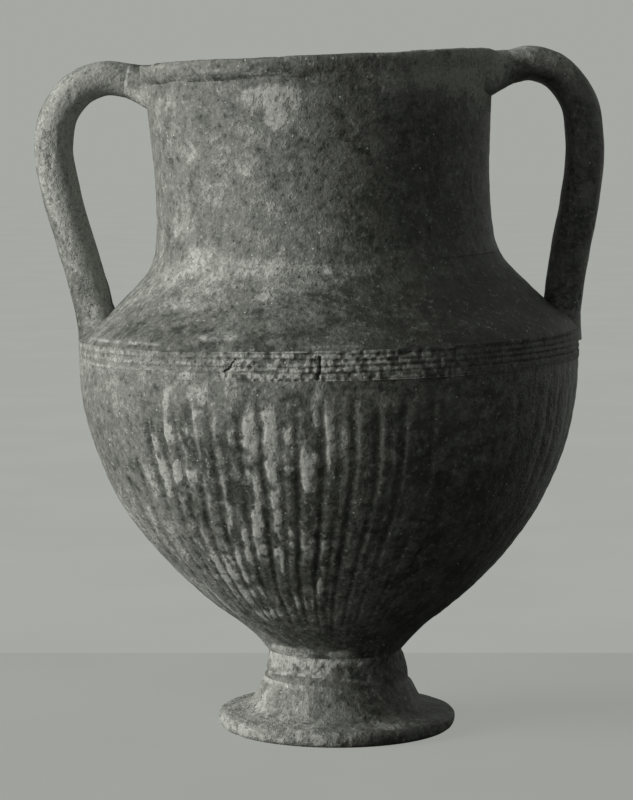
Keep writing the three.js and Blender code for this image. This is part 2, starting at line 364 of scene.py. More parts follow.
def bowlFinish(angle, height, x, y):
    # rounded ridges between cut grooves: the cut is deepest on the groove's line and fades to the
    # ridge, and both wander, wear and end unevenly; the crests keep ragged blotches of lime
    drift = bowl["drift"] * (1.0 - fade(height, *bowl["driftFade"]))
    wander = 0.3 * noise(x, y, height, 40.0, 7) + 0.2 * noise(x, y, height, 9.0, 8)
    wander = wander + 0.32 * noise(x, y, height, 2.8, 14)
    degrees = np.degrees(angle) - drift + wander
    # the grooves on both sides of each place
    after = np.searchsorted(grooveAt, degrees % 360.0) % len(grooveAt)
    before = after - 1
    toAfter = (grooveAt[after] - degrees) % 360.0
    toBefore = (degrees - grooveAt[before]) % 360.0
    nearer = np.where(toAfter < toBefore, after, before)
    away = np.minimum(toAfter, toBefore)
    # 1 on the groove's line and 0 on the ridge: a narrow cut and the ridge's round flank
    cut = 1.0 - fade(away, 0.1, bowl["halfWidth"])
    flank = (1.0 - np.clip(2.0 * away / (toAfter + toBefore), 0.0, 1.0)) ** 2
    high, low = bowl["topFade"]
    top = 1.0 - fade(height, low + grooveEnd[nearer], high + grooveEnd[nearer])
    shown = top * fade(height, *bowl["footFade"])
    worn = (0.8 + 0.45 * noise(x, y, height, 11.0, 9)) * (0.3 + 0.7 * fade(height, *bowl["wornFade"]))
    worn = worn * (1.0 - 0.6 * fade(np.sin(angle), 0.4, 0.75))
    relief = -shown * grooveCut[nearer] * worn * (bowl["depth"] * cut + 0.25 * flank)
    relief = relief + 0.2 * fade(height, 45.0, 60.0) * noise(x, y, height, 3.0, 17)
    # lime in streaks and ragged blotches on the crests, mostly left of the front
    crest = shown * (1.0 - cut)
    streak = fade(noise(before * 13.7, 0.0 * x, height, 20.0, 10), -0.6, 0.3)
    blotch = noise(x, y, height * 0.6, 5.6, 13) + 0.6 * noise(x, y, height, 2.4, 18)
    ragged = 0.9 + 0.5 * blotch
    side = fade(np.cos(angle - math.radians(-22.0)), 0.85, 0.975)
    lower = 0.6 + 0.4 * fade(height, 56.0, 90.0)
    crust = 1.2 * (0.3 + 0.7 * crest) * side * lower * streak * fade(blotch, -0.35, 0.85)
    # darker in the grooves
    crust = crust - 0.1 * shown * cut
    crust = crust - 0.28 * side * fade(height, 180.0, 155.0)
    crust = crust + deposits(bowl["lime"], degrees, height) * (0.35 + 0.65 * crest) * ragged
    return relief, crust, 0.5 * crest * flank


def makeBowl():
    # boss in the collar, outside, seat under the band, rim and hollow, spun round the axis
    seat, wallTop, mouth = body["bandSeat"], body["bandMiddle"], body["bowlMouth"]
    line, hollow = bowl["outline"], bowl["hollow"]
    runs = [
        joint((body["axisRadius"], body["seam"]), (body["socket"], body["seam"]), 6.0),
        joint((body["socket"], body["seam"]), (body["socket"], body["stemTop"]), 5.0),
        joint((body["socket"], body["stemTop"]), line[0], 3.0),
        (smoothLine(line, bowl["rowStep"]), 1),
        joint(line[-1], (seat, body["bandBottom"]), 2.5),
        joint((seat, body["bandBottom"]), (seat, wallTop), 4.0),
        joint((seat, wallTop), (mouth, wallTop), 2.5),
        (smoothLine([(mouth, wallTop)] + hollow[::-1], 9.0), 2),
    ]
    return turn("belly", runs, bowl["columns"], False, bowlFinish, jointFill)


# Grooved band

band = {
    "radius": 119.0,
    # how the four lines wander: angles from the front, and the height of each line there
    "angles": [-180, -60, -44, -27, -15, -5, 4, 12, 25, 180],
    "lines": [
        [188.5, 190.6, 190.4, 189.4, 189.2, 189.0, 188.3, 188.1, 188.3, 188.5],
        [186.0, 186.4, 186.5, 186.9, 187.0, 186.4, 185.7, 185.7, 185.7, 186.0],
        [183.4, 182.2, 182.7, 183.3, 183.3, 182.7, 183.3, 183.3, 183.3, 183.4],
        [180.7, 179.4, 179.9, 180.6, 181.0, 180.0, 180.3, 180.6, 180.7, 180.7],
    ],
    "depth": 0.55,
    "columns": 1200,
    # drying cracks: angle, lean in degrees for each millimetre, width, and lower and upper end
    "cracks": [(-2.3, 0.02, 0.8, 178.0, 187.5), (-22.6, 0.35, 0.42, 181.5, 187.0)],
    "lime": [(-32.4, 178.4, 2.8, 2.6, 0.55), (-33, 184.9, 3, 1.0, 0.3), (-58, 188.0, 22, 0.9, 0.16),
             (-54, 184.4, 24, 0.9, 0.16), (-52, 180.5, 22, 0.9, 0.2), (-4, 190.0, 26, 0.7, 0.5),
             (6, 184.4, 14, 0.7, 0.3), (6, 181.8, 14, 0.7, 0.35)],
}


def bandFinish(angle, height, x, y):
    # incised lines that wander and fade, crests broken into beads, cracks and a frayed lower edge; each
    # line cuts by one less the blended distance from it
    degrees = (np.degrees(angle) + 180.0) % 360.0 - 180.0
    level = height + 0.12 * noise(x, y, height, 7.0, 32)
    cut = 0.0
    for line in band["lines"]:
        cut = cut + 1.0 - fade(np.abs(level - np.interp(degrees, band["angles"], line)), 0.1, 0.85)
    strength = 0.9 + 0.5 * noise(x, y, height, 24.0, 33)
    front = fade(np.cos(angle - math.radians(3.0)), 0.82, 0.97)
    relief = -band["depth"] * cut * strength * (1.0 - 0.65 * fade(np.sin(-angle), 0.35, 0.75))
    bead = noise(x, y, height * 0.8, 1.7, 34) + 0.4 * noise(x, y, height, 5.0, 38)
    broken = fade(bead, 0.1, 0.5) * (0.15 + 0.85 * front)
    relief = relief - 0.28 * broken
    for where, lean, width, low, high in band["cracks"]:
        line = where + lean * (height - low) + 0.5 * noise(x, y, height, 2.4, 36)
        ends = fade(height, low - 1.0, low + 0.6) * (1.0 - fade(height, high - 0.6, high + 1.0))
        relief = relief - 2.0 * ends * (1.0 - fade(np.abs(degrees - line), 0.12 * width, 0.5 * width))
    edge = height - body["bandBottom"]
    frayed = 1.0 - fade(edge + 0.6 * noise(x, y, height, 4.0, 39), 0.0, 1.2)
    relief = relief - (0.2 + 0.3 * front) * frayed
    side = fade(np.cos(angle - math.radians(-34.0)), -0.1, 0.9)
    # darker in the incised lines
    crust = side * (0.04 + 0.12 * noise(x, y, height, 3.0, 37) - 0.06 * cut)
    crust = crust + 0.08 * front + 0.5 * front * (1.0 - broken) * fade(bead, 0.2, -0.3)
    crust = crust - 0.1 * broken - 0.1 * front * cut
    ragged = 0.8 + 0.6 * noise(x, y, height, 2.2, 40)
    crust = crust + deposits(band["lime"], degrees, height) * ragged
    return relief, crust, 0.4 * (1.0 - cut)


def makeBand():
    # a hoop of oblong section round the seats of bowl and shoulder
    bottom, top, seat, radius = body["bandBottom"], body["bandTop"], body["bandSeat"], band["radius"]
    runs = [
        joint((seat, bottom), (radius, bottom), 1.5),
        (smoothLine([(radius, bottom), (radius, top)], 0.3), 1),
        joint((radius, top), (seat, top), 1.5),
        joint((seat, top), (seat, bottom), 5.0),
    ]
    return turn("grooved_band", runs, band["columns"], True, bandFinish)


# Shoulder

shoulder = {
    "outline": [
        (118.7, 190.0), (114.4, 194.6), (106.3, 200.4), (95.9, 210), (88.6, 217.4), (84.9, 221.8),
        (82.5, 226),
    ],
    "columns": 720,
    # crust over the joint with the neck
    "joint": [(-44, 229, 13, 9, 0.34), (-31, 223, 16, 8, 0.36), (0, 223.8, 13, 2.4, 0.36),
              (-14, 225, 12, 4, 0.32)],
    "lime": [(-16.5, 213, 4, 2, 0.4), (-25.5, 196.4, 6, 2, 0.5), (-72, 209, 14, 12, 0.2),
             (-42, 212, 16, 6, 0.26), (-8, 217, 12, 3, 0.3), (14, 221.5, 9, 1.6, 0.36),
             (-58, 218, 8, 8, 0.26), (-54, 192.6, 20, 0.8, 0.4), (0, 191.9, 9, 0.6, 0.4)],
}


def jointCrust(angle, height, x, y):
    # the same on both sides of the joint, thick in some places and gone in others
    patch = 0.75 + 0.8 * noise(x, y, height, 6.0, 48) + 0.5 * noise(x, y, height, 2.6, 49)
    return deposits(shoulder["joint"], np.degrees(angle), height) * np.maximum(patch, 0.0)


def shoulderFinish(angle, height, x, y):
    # dragging marks of the hand that smoothed the slope, crust in its upper bend, and painted shade on the
    # slope below the neck
    drag = noise(x * 0.22 + y * 0.1, y * 0.22, height, 2.0, 41) * fade(height, body["neckFoot"], 221.0)
    ragged = 0.7 + 0.7 * noise(x, y, height, 4.2, 44)
    crust = deposits(shoulder["lime"], np.degrees(angle), height) * ragged + jointCrust(angle, height, x, y)
    # painted shade: the upturned slope below the neck is painted darker, most of all on the right, in place
    # of light that reaches it less from above
    paintedShoulderShade = (0.14 + 0.56 * fade(np.sin(angle), 0.0, 0.6)) * fade(height, body["neckFoot"], 212.0)
    return 0.12 * drag, crust + 0.05 * drag - paintedShoulderShade, 0.0


def makeShoulder():
    # stands on the bowl's rim inside the band, slopes in to the neck's tongue and has the same wall
    seat, mouth, middle = body["bandSeat"], body["tongue"], body["bandMiddle"]
    line, foot = shoulder["outline"], body["neckFoot"]
    lining = [(r - body["bowlWall"], h) for r, h in line[1:-1]][::-1]
    runs = [
        joint((body["bowlMouth"], middle), (seat, middle), 2.0),
        joint((seat, middle), (seat, body["bandTop"]), 3.0),
        joint((seat, body["bandTop"]), line[0], 2.0),
        (smoothLine(line, 0.7), 1),
        joint(line[-1], (mouth, foot), 2.0),
        joint((mouth, foot), (mouth, foot - body["tongueDepth"]), 2.0),
        (smoothLine([(mouth, foot - body["tongueDepth"])] + lining + [(body["bowlMouth"], middle)], 4.0), 2),
    ]
    return turn("shoulder", runs, shoulder["columns"], True, shoulderFinish)


# Neck

neck = {
    "outline": [(82.5, 226), (81.0, 230.5), (80.0, 237), (79.4, 246), (79.2, 262), (80.8, 289), (82.4, 311)],
    "lime": [(-16.5, 301.5, 9, 5.5, 0.78), (-14.2, 293, 4, 6, 0.72), (-7.4, 300.5, 2.2, 6, 0.6),
             (-21.5, 303.5, 4, 2.4, 0.5), (-50, 278, 5, 5, 0.3), (-29, 271, 8, 6, 0.2),
             (-62, 300, 8, 6, 0.2), (-38, 258, 10, 9, 0.2),
             (-56, 246, 9, 10, 0.2), (-24, 285, 7, 6, 0.16), (68, 294, 14, 20, 0.5),
             (68, 262, 24, 44, 0.22)],
    "columns": 720,
    # paler high up on the right, which goes on over the lip: its strength and the heights of its fade
    "upperRightPaling": 1.3,
    "upperRightPalingFade": (284.0, 315.0),
}


def upperRightPaling(x, y, height):
    # the place's share times a ragged strength, on the outside of neck and lip only
    radius = np.hypot(x, y)
    place = fade(x / radius, 0.1, 0.75) * fade(height, *neck["upperRightPalingFade"]) * fade(radius, 77.0, 79.5)
    return neck["upperRightPaling"] * place * (0.8 + 0.5 * noise(x, y, height, 9.0, 56))


def neckFinish(angle, height, x, y):
    # shallow scraped facets, turning lines and a few nicks
    relief = 0.12 * noise(x, y, height * 0.4, 13.0, 42)
    relief = relief + 0.05 * noise(x * 0.06, y * 0.06, height, 1.3, 45)
    clear = fade(height, body["neckFoot"], 232.0)
    nick = fade(noise(x, y, height * 0.3, 2.6, 43), 0.74, 0.9)
    ragged = 0.8 + 0.6 * noise(x, y, height, 4.0, 46) + 0.4 * noise(x, y, height, 1.8, 47)
    crust = deposits(neck["lime"], np.degrees(angle), height) * ragged + jointCrust(angle, height, x, y)
    crust = crust + upperRightPaling(x, y, height)
    return (relief - 0.3 * nick) * clear, crust, 0.0


def makeNeck():
    # tongue below, waisted wall, and a tenon on top that the lip caps
    line, wall, foot = neck["outline"], body["neckWall"], body["neckFoot"]
    lining = [(r - wall, h) for r, h in line[1:]][::-1]
    tongue, tenon = body["tongue"], body["tenon"]
    tongueFoot, tenonTop = foot - body["tongueDepth"], body["rim"] - body["lipCap"]
    bore, throat = lining[-1][0], lining[0][0]
    runs = [
        joint((bore, tongueFoot), (tongue, tongueFoot), 2.0),
        joint((tongue, tongueFoot), (tongue, foot), 2.0),
        joint((tongue, foot), line[0], 2.0),
        (smoothLine(line, 1.0), 1),
        joint(line[-1], (tenon, body["lipBottom"]), 1.5),
        joint((tenon, body["lipBottom"]), (tenon, tenonTop), 2.0),
        joint((tenon, tenonTop), (throat, tenonTop), 2.0),
        (smoothLine([(throat, tenonTop)] + lining + [(bore, tongueFoot)], 3.0), 2),
    ]
    return turn("neck", runs, neck["columns"], True, neckFinish)


# Lip

lip = {
    "radius": 84.8,
    "round": 1.2,
    "columns": 720,
    # how far the fold's lower edge hangs below its joint on the left, and where it was pressed in
    "hang": 1.0,
    "pressed": 2.0,
    "lime": [(-33, 314.6, 7, 1.0, 0.3), (-15, 315, 9, 2.2, -0.3), (-2, 316, 1.6, 1.4, 0.4),
             (-60, 317, 16, 1.8, 0.2), (-18, 313, 8, 1.0, 0.25), (-48, 312.5, 10, 0.9, 0.2),
             (66, 321, 22, 1.2, 0.2)],
    # where a piece is chipped off the top edge, in degrees round from the front, and how deep
    "notch": 289.0,
    "notchDepth": 1.1,
}


def lipPressed(angle):
    # how much of the fold was pressed into the neck: nothing on the left, all of it on the right
    return fade(np.sin(angle), -0.3, 0.2)


def lipSettle(angle, radius, height):
    # the lower edge goes down over the neck's top; on the left it is tucked in unevenly, and on the
    # right its whole face slants in to just under the neck's
    bottom = body["lipBottom"]
    reach = 1.0 - fade(height, bottom, bottom + 7.0)
    outer = fade(radius, body["tenon"] + 1.0, neck["outline"][-1][0])
    pressed = lipPressed(angle) * outer
    under = neck["outline"][-1][0] - 0.5
    slanted = under + (radius - under) * (1.0 - reach) - 1.2 * (1.0 - reach)
    edge = outer * (1.0 - fade(height, bottom, bottom + 3.2))
    tucked = np.clip(0.75 + 0.6 * ringNoise(angle, 85.0, 0.0, 9.0, 55), 0.0, 1.0)
    tucked = edge * np.maximum(tucked, fade(np.sin(angle), -0.9, -0.98))
    drop = lip["hang"] * (outer - pressed) + lip["pressed"] * pressed
    radius = radius + pressed * (slanted - radius)
    return radius + tucked * np.minimum(under + 0.4 - radius, 0.0), height - drop * reach


def lipFinish(angle, height, x, y):
    # a lumpy fold with chipped edges, whose top dips a little at the front
    bottom, rim = body["lipBottom"], body["rim"]
    relief = 0.22 * noise(x, y, height * 0.5, 16.0, 51) + 0.14 * noise(x, y, height, 5.0, 52)
    low = 1.0 - fade(height, bottom, bottom + 2.4)
    high = fade(height, rim - 1.8, rim)
    chip = fade(noise(x, y, height, 6.0, 53), 0.3, 0.7) * np.maximum(low, high)
    notch = 1.0 - fade(np.abs((np.degrees(angle) % 360.0) - lip["notch"]), 2.0, 8.0)
    dip = 0.3 * fade(np.cos(angle - 0.2), 0.5, 1.0) - 0.7 * fade(np.sin(angle), 0.3, 0.7)
    relief = (relief - 0.6 * chip) * (1.0 - lipPressed(angle) * low)
    relief = relief - high * (lip["notchDepth"] * notch + dip)
    # painted highlight: the top edge is paler on the left, the key light's side; painted shadow: the lower
    # edge is darker on the left, under the fold's overhang
    crust = 0.12 * high * fade(np.sin(-angle), -0.4, 0.6) - 0.12 * low * fade(np.sin(-angle), 0.0, 0.3)
    crust = crust + upperRightPaling(x, y, height)
    ragged = 0.8 + 0.6 * noise(x, y, height, 3.0, 54)
    crust = crust + deposits(lip["lime"], np.degrees(angle), height) * ragged
    return relief, crust, 0.5 * high


def makeLip():
    # a fold with round edges that caps the neck's tenon
    radius, soft, tenon = lip["radius"], lip["round"], body["tenon"]
    bottom, rim = body["lipBottom"], body["rim"]
    mouth = neck["outline"][-1][0] - body["neckWall"]
    under = rim - body["lipCap"]
    face = [
        (radius - 1.5 * soft, bottom), (radius - 0.9 * soft, bottom + 0.4 * soft),
        (radius - 0.3 * soft, bottom + soft), (radius, bottom + 2.2 * soft),
        (radius + 0.1, bottom + 4.6), (radius, rim - 1.5 * soft),
        (radius - 0.4 * soft, rim - 0.4 * soft), (radius - 1.5 * soft, rim),
    ]
    edge = [(mouth + soft, rim), (mouth + 0.3 * soft, rim - 0.3 * soft), (mouth, rim - soft)]
    runs = [
        (smoothLine([(tenon, bottom), face[0]], 0.8), 1),
        (smoothLine(face, 0.45), 1),
        (smoothLine([face[-1], edge[0]], 0.8), 1),
        (smoothLine(edge, 0.4), 1),
        (smoothLine([edge[-1], (mouth, under)], 1.0), 2),
        joint((mouth, under), (tenon, under), 1.5),
        joint((tenon, under), (tenon, bottom), 2.0),
    ]
    return turn("lip", runs, lip["columns"], True, lipFinish, lipSettle)


# Foot

foot = {
    "flare": [(55.4, 7.3), (52.5, 8), (49, 8.5), (45.2, 9.4), (42, 11), (39.9, 13.4), (37.9, 17), (36.2, 21),
              (35, 24.5)],
    "edge": [(54.6, 0), (55.9, 0.8), (56.7, 2.2), (57, 4.2), (56.6, 6.2), (55.4, 7.3)],
    "hollow": [(0.6, 17.5), (19, 15.6), (31, 10), (42, 3.2), (45.5, 0)],
    "ringInside": 45.5,
    "columns": 640,
    "lime": [(-8.4, 3.6, 3.4, 2.4, 0.7), (-78, 23.6, 22, 1.4, 0.6), (-65, 16, 12, 6, 0.3),
             (-38, 11, 14, 3, 0.2), (28, 8.6, 9, 1.6, 0.3), (-20, 8, 12, 1.2, 0.2), (-45, 4, 26, 2.5, 0.12)],
    # radius of the seam with the collar on the left and on the right
    "seamRadius": (34.9, 34.0),
}


def footFinish(angle, height, x, y):
    # smeared clay that runs down the flare, a step under the collar that ends on the right, and chips
    # on the edge
    reach = np.hypot(x, y)
    onFlare = fade(height, 6.5, 9.0)
    smear = ringNoise(angle, 26.0, reach * 0.3, 3.4, 61)
    relief = onFlare * 0.3 * smear + 0.18 * noise(x, y, height, 8.0, 62)
    edge = 1.0 - fade(np.abs(reach - 56.4), 0.0, 2.0)
    chip = fade(noise(x, y, height, 6.0, 63), 0.42, 0.75) * edge
    step = 0.4 * noise(x, y, height, 6.0, 67) - 0.8 * fade(np.sin(angle), -0.75, 0.2)
    step = step * fade(height, 18.0, 24.2)
    side = fade(np.sin(-angle), -0.5, 0.9)
    crust = side * (0.1 + 0.2 * noise(x, y, height, 4.6, 64)) + 0.12 * onFlare * smear * side
    crust = crust + 0.14 * fade(reach, 40.0, 46.0) * (0.4 + 0.6 * side)
    ragged = 0.8 + 0.6 * noise(x, y, height, 3.0, 68)
    crust = crust + deposits(foot["lime"], np.degrees(angle), height) * ragged
    return relief - 0.6 * chip + step, crust, 0.5 * edge


def seamLine(angle, radius, height, left, right):
    # after the relief, foot and collar meet in one line at the seam again, but for a ledge on the left
    seam = body["seam"]
    share = fade(np.sin(angle), -0.96, -0.7)
    line = left + (right - left) * share + 0.25 * ringNoise(angle, 30.0, seam, 6.0, 57)
    outside = fade(radius, 26.0, 30.0)
    away = np.abs(height - seam)
    near = outside * (1.0 - fade(away, 1.0, 3.6))
    close = outside * (1.0 - fade(away, 1.0, 2.0))
    return radius + near * (line - radius), height + close * (seam - height)


def footSettle(angle, radius, height):
    # meets the collar above
    return seamLine(angle, radius, height, *foot["seamRadius"])


def makeFoot():
    # hollow, ring that it stands on, rounded edge, flare and a flat top, spun round the axis
    edge, seam = foot["edge"], body["seam"]
    runs = [
        (smoothLine(foot["hollow"], 2.5), 2),
        joint((foot["ringInside"], 0), edge[0], 1.5),
        (smoothLine(edge, 0.5), 1),
        (smoothLine(foot["flare"], 0.7), 1),
        joint(foot["flare"][-1], (body["axisRadius"], seam), 3.0),
    ]
    return turn("foot", runs, foot["columns"], False, footFinish, footSettle)


# Collar round the stem

collar = {
    "outline": [(33.1, 24.5), (33.6, 28.5), (32.5, 33.5), (31.1, 37.6)],
    "columns": 520,
    # radius of the seam with the foot on the left and on the right
    "seamRadius": (33.2, 34.0),
    "lime": [(-52, 34.5, 30, 5.5, 0.5), (-18, 35.4, 26, 5.4, 0.75), (14, 36.4, 16, 3.0, 0.5)],
    # the pale ridge of the joint, as angles and heights
    "ridge": [(-100, 24.6), (-60, 27.6), (-40, 29.2), (-15, 28.9), (15, 27.2), (43, 25.2), (60, 24.5)],
}


def collarFinish(angle, height, x, y):
    # a pressed sleeve with finger dents and a ragged crust above a low pale ridge, smoothed into the
    # flare on the right
    relief = 0.35 * noise(x, y, height, 10.0, 65) + 0.25 * noise(x, y, height, 3.6, 66)
    relief = relief + 0.6 * fade(np.sin(angle), -0.75, 0.3) * (1.0 - fade(height, 24.5, 31.0))
    ragged = 0.8 + 0.9 * noise(x, y, height, 2.4, 69)
    crust = deposits(collar["lime"], np.degrees(angle), height) * ragged
    degrees = (np.degrees(angle) + 180.0) % 360.0 - 180.0
    line = np.interp(degrees, *zip(*collar["ridge"])) + 0.3 * noise(x, y, 0.0 * x, 5.0, 59)
    ridge = (1.0 - fade(np.abs(height - line), 0.3, 1.2)) * fade(degrees, 62.0, 36.0)
    ridge = ridge * fade(degrees, -110.0, -80.0)
    broken = fade(noise(x, y, height, 3.0, 58), -0.4, 0.2)
    crust = crust + ridge * broken * (0.5 - 0.15 * fade(degrees, -20.0, 20.0))
    return relief + 0.2 * noise(x, y, height, 2.0, 60) + 0.35 * ridge, crust, 0.0


def collarSettle(angle, radius, height):
    # meets the foot below and the bowl above
    return jointFill(angle, *seamLine(angle, radius, height, *collar["seamRadius"]))


def makeCollar():
    # a sleeve round the bowl's boss
    bore, line = body["socket"], collar["outline"]
    runs = [
        joint((bore, body["seam"]), line[0], 2.0),
        (smoothLine(line, 0.6), 1),
        joint(line[-1], (bore, body["stemTop"]), 2.0),
        joint((bore, body["stemTop"]), (bore, body["seam"]), 4.0),
    ]
    return turn("stem_collar", runs, collar["columns"], True, collarFinish, collarSettle)


# Handles and the wads round their ends

handle = {
    # the middle line of each one, as x and height, from the lip down
    "left": [
        (-78, 305.6), (-90, 309), (-101.5, 310), (-113.4, 305.6), (-122.9, 294),
        (-126, 278.5), (-122.6, 256), (-116.6, 234), (-110.6, 213.5), (-104.4, 189),
    ],
    "right": [
        (78, 311.3), (90, 315.5), (99.5, 317.2), (112, 312.8), (122, 300.2),
        (125.6, 280), (123.6, 252), (119.6, 230), (116.6, 211), (113.9, 188),
    ],
    # half the thickness near the lip and down the side, half the width, and how round the corners are
    "topHalf": 8.0,
    "sideHalf": 9.1,
    "halfWidth": 12.0,
    "squareness": 0.85,
    "around": 144,
    "rowStep": 0.8,
}
wad = {
    # how far a wad reaches along the handle, how far under the handle's skin its thin end starts, and
    # the radius that its upper end bends round
    "reach": 17.0,
    "skin": 0.5,
    "neckRadius": 82.0,
    # what the clay adds at the path's end: towards the outside, towards the gap and sideways
    "upper": {"left": (3.0, 2.6, 12.0), "right": (6.5, 2.0, 20.0)},
    "lower": {"left": (1.2, 2.0, 13.0), "right": (1.9, 1.6, 10.0)},
    # how much squarer the section gets there, so that it wraps the lip's end
    "squarer": 0.75,
    "rowStep": 0.6,
}


def handleLimeAndPaintedLight(sign, cos, bend, x, y, z):
    # lime on a handle, with painted light and shade on the left one: noise, plus shares of each place's
    # blend
    amount = 0.2 + 0.12 * noise(x, y, z, 19.0, 15) + 0.22 * noise(x, y, z, 7.0, 16)
    if sign > 0:
        # only the top of the right one is pale
        amount = amount + 0.12 + 0.3 * fade(z, 306.0, 320.0)
        return amount + 0.4 * fade(z, 290.0, 312.0) * fade(x, 104.0, 86.0)
    # the left one is painted paler on its front, towards the gap and near the lip, and darker on its outer
    # face, which faces the key light: painted light and painted shade that even out its shading; it has
    # little on its wads
    amount = amount + 0.34 + 0.36 * fade(-y, -2.0, 9.0) - 0.34 * fade(cos, 0.2, 1.0)
    amount = amount + 0.36 * fade(cos, 0.3, -0.4) * fade(-y, 0.0, 7.0) * fade(z, 300.0, 288.0)
    amount = amount + 0.25 * fade(cos, 0.0, -1.0) + 0.16 * fade(z, 285.0, 305.0)
    amount = amount + 0.3 * fade(x, -112.0, -98.0) * fade(z, 285.0, 300.0)
    return amount - 0.85 * fade(bend, 0.0, 0.1) - 0.34 * fade(z, 236.0, 206.0)


def rope(name, side, rowStep, covers, growth):
    # a flattened section carried along the handle's line; covers says which lengths of the line are
    # taken, and growth what is added to the three half sizes and how far the section bends round the neck
    path = smoothLine(handle[side], rowStep)
    along = np.concatenate([[0.0], np.cumsum(np.hypot(*np.diff(path, axis=0).T))])
    length = along[-1]
    slope = np.gradient(path, along, axis=0)
    slope = slope / np.hypot(slope[:, 0], slope[:, 1])[:, None]
    keep = covers(along, length)
    path, slope, along = path[keep], slope[keep], along[keep]
    sign = math.copysign(1.0, handle[side][0][0])
    outX, outZ = (sign * -slope[:, 1])[:, None], (sign * slope[:, 0])[:, None]
    angle = (np.arange(handle["around"]) / handle["around"] * 2.0 * np.pi)[None, :]
    thicker = (handle["sideHalf"] - handle["topHalf"]) * fade(along / length, 0.1, 0.45)
    half = handle["topHalf"] + thicker[:, None]
    outer, inner, wide, bend = growth(along[:, None], length)
    squareness = handle["squareness"] * (1.0 - wad["squarer"] * np.minimum(bend, 0.6))
    cos = np.sign(np.cos(angle)) * np.abs(np.cos(angle)) ** squareness
    sin = np.sign(np.sin(angle)) * np.abs(np.sin(angle)) ** squareness
    reach = half + np.where(cos > 0, outer, inner)
    x = path[:, 0][:, None] + outX * reach * cos
    z = path[:, 1][:, None] + outZ * reach * cos
    y = -sign * (handle["halfWidth"] + wide) * sin + 0.0 * reach
    seed = 70 + 10 * int(sign)
    relief = 0.34 * noise(x, y, z, 26.0, seed) + 0.2 * noise(x, y, z, 8.0, seed + 1)
    relief = relief + 0.12 * noise(x, y, z * 0.25, 2.6, seed + 2)
    relief = relief - 0.4 * fade(noise(x, y, z, 5.0, seed + 3), 0.6, 0.85)
    curve = wad["neckRadius"] - np.sqrt(wad["neckRadius"] ** 2 - y**2)
    x = x + outX * cos * relief - sign * bend * curve
    z = z + outZ * cos * relief
    y = y - sign * sin * relief
    # no clay stands above the slanting plane of the rim, which rises a little beyond the lip
    rise = 0.25 * np.maximum(np.abs(x) - lip["radius"], 0.0)
    over = z - body["rim"] - 0.3 - x * math.sin(slump["rimTilt"]) - rise
    z = z - (over + np.hypot(over, 0.6)) / 2.0
    amount = handleLimeAndPaintedLight(sign, cos, bend, x, y, z)
    return makeMesh(name, x, y, z, False, {"lime": amount, "wear": 0.0 * x})


def makeHandle(side):
    # the bare rope over the whole line
    def covers(along, length):
        return along <= length

    def growth(along, length):
        return 0.0, 0.0, 0.0, 0.0

    return rope(side + "_handle", side, handle["rowStep"], covers, growth)


def makeWad(side, place):
    # clay that starts just under the handle's skin and spreads to the wall as the square of the way
    def fromWall(along, length):
        return along if place == "upper" else length - along

    def covers(along, length):
        return fromWall(along, length) <= wad["reach"]

    def growth(along, length):
        web = np.clip(1.0 - fromWall(along, length) / wad["reach"], 0.0, 1.0) ** 2
        skin = wad["skin"] * (1.0 - fade(web, 0.0, 0.12))
        outer, inner, wide = [amount * web - skin for amount in wad[place][side]]
        return outer, inner, wide, (web if place == "upper" else 0.0)

    return rope(side + "_" + place + "_wad", side, wad["rowStep"], covers, growth)


# Fired clay

clay = {
    "bare": (0.042, 0.045, 0.037),
    "worn": (0.112, 0.116, 0.101),
    "film": (0.212, 0.217, 0.198),
    "lime": (0.42, 0.427, 0.395),
    "soilAndShade": (0.016, 0.016, 0.013),
    "speck": (0.72, 0.73, 0.68),
    # noise scales in cells for each metre
    "scales": {"cloud": 45.0, "mottle": 140.0, "fleck": 430.0, "grain": 900.0},
    # where each layer begins and where it is whole, in the patchy mix of noise and lime
    "layers": {"sootAndPaintedShade": (0.5, 0.15), "film": (0.75, 1.30), "veil": (1.18, 1.24), "crust": (1.56, 1.71)},
    # cells for each metre, a dot's inner and outer radius in cells, and the share of cells with a dot
    "specks": (330.0, 0.08, 0.15, 0.09),
    "pits": (130.0, 0.05, 0.09, 0.22),
    # how far the bump's noise may stand out, in metres
    "bump": 0.001,
}


def addNode(tree, kind, **values):
    # makes a node and sets its options
    node = tree.nodes.new(kind)
    for key, value in values.items():
        setattr(node, key, value)
    return node


def setInput(node, name, value):
    node.inputs[name].default_value = value


def noiseAt(tree, coordinates, scale, detail, rough=0.55):
    # cloudy noise with a mean of about 0.5
    node = addNode(tree, "ShaderNodeTexNoise")
    setInput(node, "Scale", scale)
    setInput(node, "Detail", detail)
    setInput(node, "Roughness", rough)
    tree.links.new(coordinates, node.inputs["Vector"])
    return node.outputs["Fac"]


def maths(tree, operation, first, second):
    # one sum of two values, each a number or a socket
    node = addNode(tree, "ShaderNodeMath", operation=operation)
    for socket, value in zip(node.inputs, (first, second)):
        if isinstance(value, (int, float)):
            socket.default_value = value
        else:
            tree.links.new(value, socket)
    return node.outputs[0]


def mixed(tree, parts):
    # the sum of each value times its weight
    total = None
    for value, weight in parts:
        term = maths(tree, "MULTIPLY", value, weight)
        total = term if total is None else maths(tree, "ADD", total, term)
    return total


def ranged(tree, value, low, high, start=0.0, end=1.0):
    # runs smoothly from start to end while the value goes from low to high
    node = addNode(tree, "ShaderNodeMapRange", interpolation_type="SMOOTHSTEP")
    tree.links.new(value, node.inputs["Value"])
    for name, number in (("From Min", low), ("From Max", high), ("To Min", start), ("To Max", end)):
        setInput(node, name, number)
    return node.outputs["Result"]


